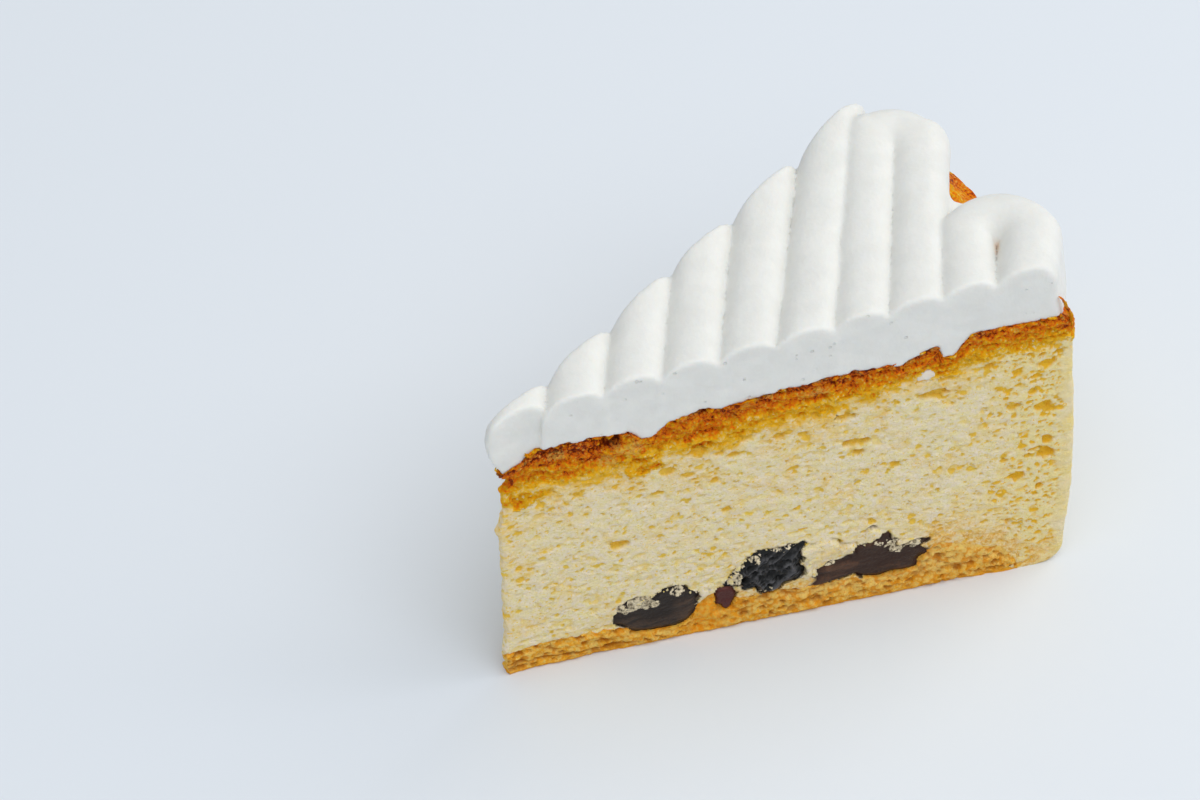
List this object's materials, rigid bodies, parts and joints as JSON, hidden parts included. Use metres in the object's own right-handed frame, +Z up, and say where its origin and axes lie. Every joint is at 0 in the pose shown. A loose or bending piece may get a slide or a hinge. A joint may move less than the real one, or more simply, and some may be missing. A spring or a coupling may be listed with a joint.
{
  "type": "cheesecake slice",
  "caption": "Wedge slice of a tall jiggly cheesecake on a sponge base, with a browned crust, dark fruit in its cut sides and zigzag piped cream on top.",
  "frame": {"origin": "middle of the slice's plan outline, on the floor it rests on", "axes": "+Z up, +X from the tip to the rim, -Y towards the cut side with the larger show of fruit"},
  "size_m": [0.0928, 0.0518, 0.0627],
  "materials": {
    "cheesecake_body": "moist fine crumb with a browned crust",
    "sponge_base": "dry golden crumb",
    "piped_cream": "matt whipped cream",
    "fruit": "damp dark fruit"
  },
  "bodies": {
    "root": {"cheesecake_body": "cheesecake_body", "sponge_base": "sponge_base", "piped_cream": "piped_cream", "fruit_left": "fruit", "fruit_small": "fruit", "fruit_middle": "fruit", "fruit_right": "fruit", "fruit_back_inner": "fruit", "fruit_back_outer": "fruit"}
  },
  "joints": []
}
